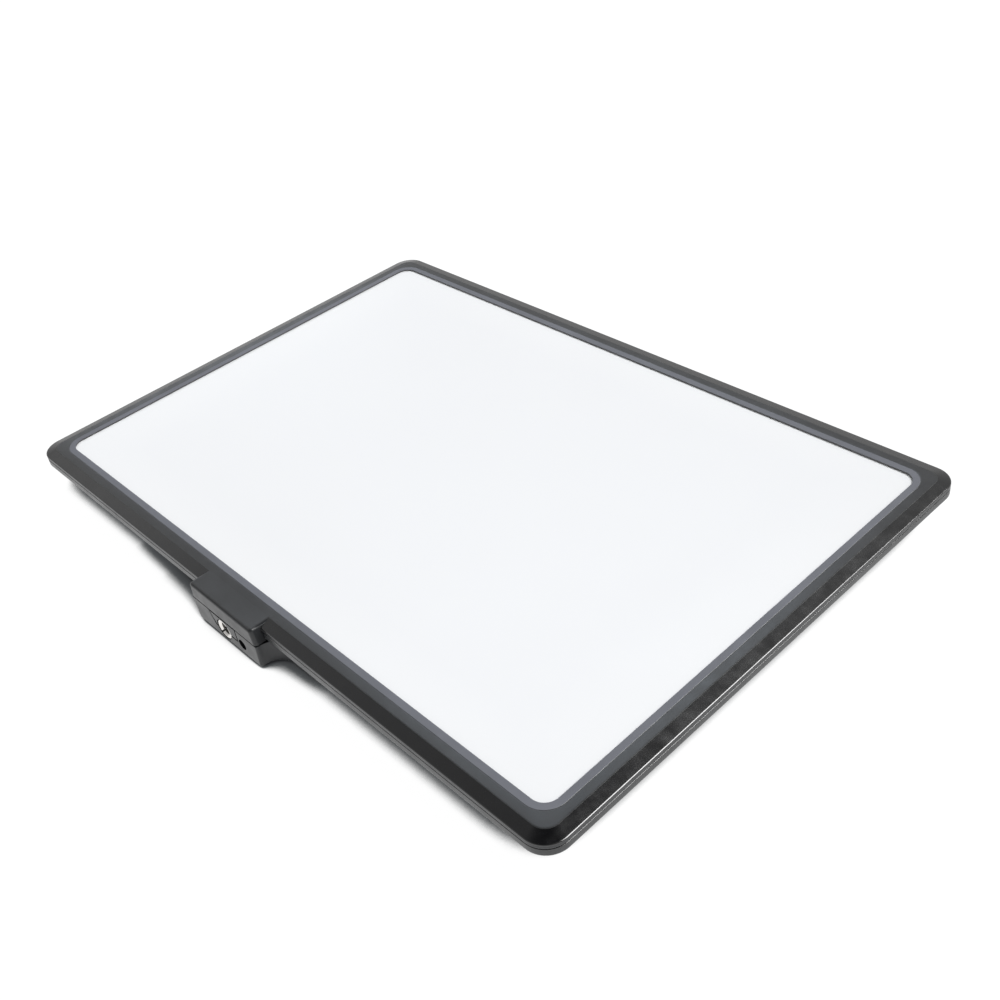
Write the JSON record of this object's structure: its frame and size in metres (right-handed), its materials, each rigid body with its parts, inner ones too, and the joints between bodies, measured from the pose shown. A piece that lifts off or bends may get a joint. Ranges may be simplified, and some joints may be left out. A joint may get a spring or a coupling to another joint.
{
  "type": "light box",
  "caption": "Slim light box: an opal plate lit from its edge in a stepped black frame, with a threaded stand block, a rear control housing, a dimmer knob and a rocker switch.",
  "frame": {"origin": "on the table plane, under the middle of the outline with the mounting block counted in", "axes": "+X along the long side, -Y out of the mounting block's front, +Z out of the light face"},
  "size_m": [0.3648, 0.2548, 0.0225],
  "materials": {
    "black_plastic": "satin",
    "opal_acrylic": "matte opal",
    "clear_acrylic": "polished",
    "white_film": "matte",
    "aluminium": "mill",
    "nickel": "nickel plated",
    "blackened_steel": "black oxide",
    "circuit_board": "satin",
    "white_circuit_board": "satin",
    "rubber": "matte",
    "component_case": "matte",
    "lead_skin": "satin"
  },
  "bodies": {
    "panel": {"front_frame": "black_plastic", "diffuser_plate": "opal_acrylic", "light_guide_plate": "clear_acrylic", "reflector_sheet": "white_film", "chassis_plate": "aluminium", "led_strip": "white_circuit_board", "rear_cover": "black_plastic", "control_housing": "black_plastic", "bush_carrier": "black_plastic", "threaded_bush": "nickel", "driver_board": "circuit_board", "input_capacitor": "aluminium", "power_inductor": "component_case", "led_connector": "white_circuit_board", "led_lead": "lead_skin", "dimmer_lead": "lead_skin", "switch_lead": "lead_skin", "socket_lead": "lead_skin", "potentiometer": "component_case", "potentiometer_nut": "nickel", "switch_housing": "black_plastic", "rocker_pin": "blackened_steel", "power_socket": "component_case", "socket_pin": "nickel", "cover_screw_1": "blackened_steel", "cover_screw_2": "blackened_steel", "cover_screw_3": "blackened_steel", "cover_screw_4": "blackened_steel", "cover_screw_5": "blackened_steel", "cover_screw_6": "blackened_steel", "cover_screw_7": "blackened_steel", "cover_screw_8": "blackened_steel", "housing_screw_1": "blackened_steel", "housing_screw_2": "blackened_steel", "housing_screw_3": "blackened_steel", "housing_screw_4": "blackened_steel", "board_screw_1": "blackened_steel", "board_screw_2": "blackened_steel", "board_screw_3": "blackened_steel", "board_screw_4": "blackened_steel", "foot_1": "rubber", "foot_2": "rubber", "foot_3": "rubber", "foot_4": "rubber"},
    "dimmer": {"dimmer_knob": "black_plastic", "potentiometer_shaft": "nickel"},
    "rocker": {"power_rocker": "black_plastic"}
  },
  "joints": [
    {"name": "dimmer_turn", "type": "hinge", "parent": "panel", "child": "dimmer", "pos_m": [0.0515, -0.0375, 0.0084], "axis": [1, 0, 0], "range_deg": [0, 270]},
    {"name": "rocker_tip", "type": "hinge", "parent": "panel", "child": "rocker", "pos_m": [-0.0602, -0.0495, 0.0084], "axis": [0, 0, 1], "range_deg": [0, 18]}
  ]
}
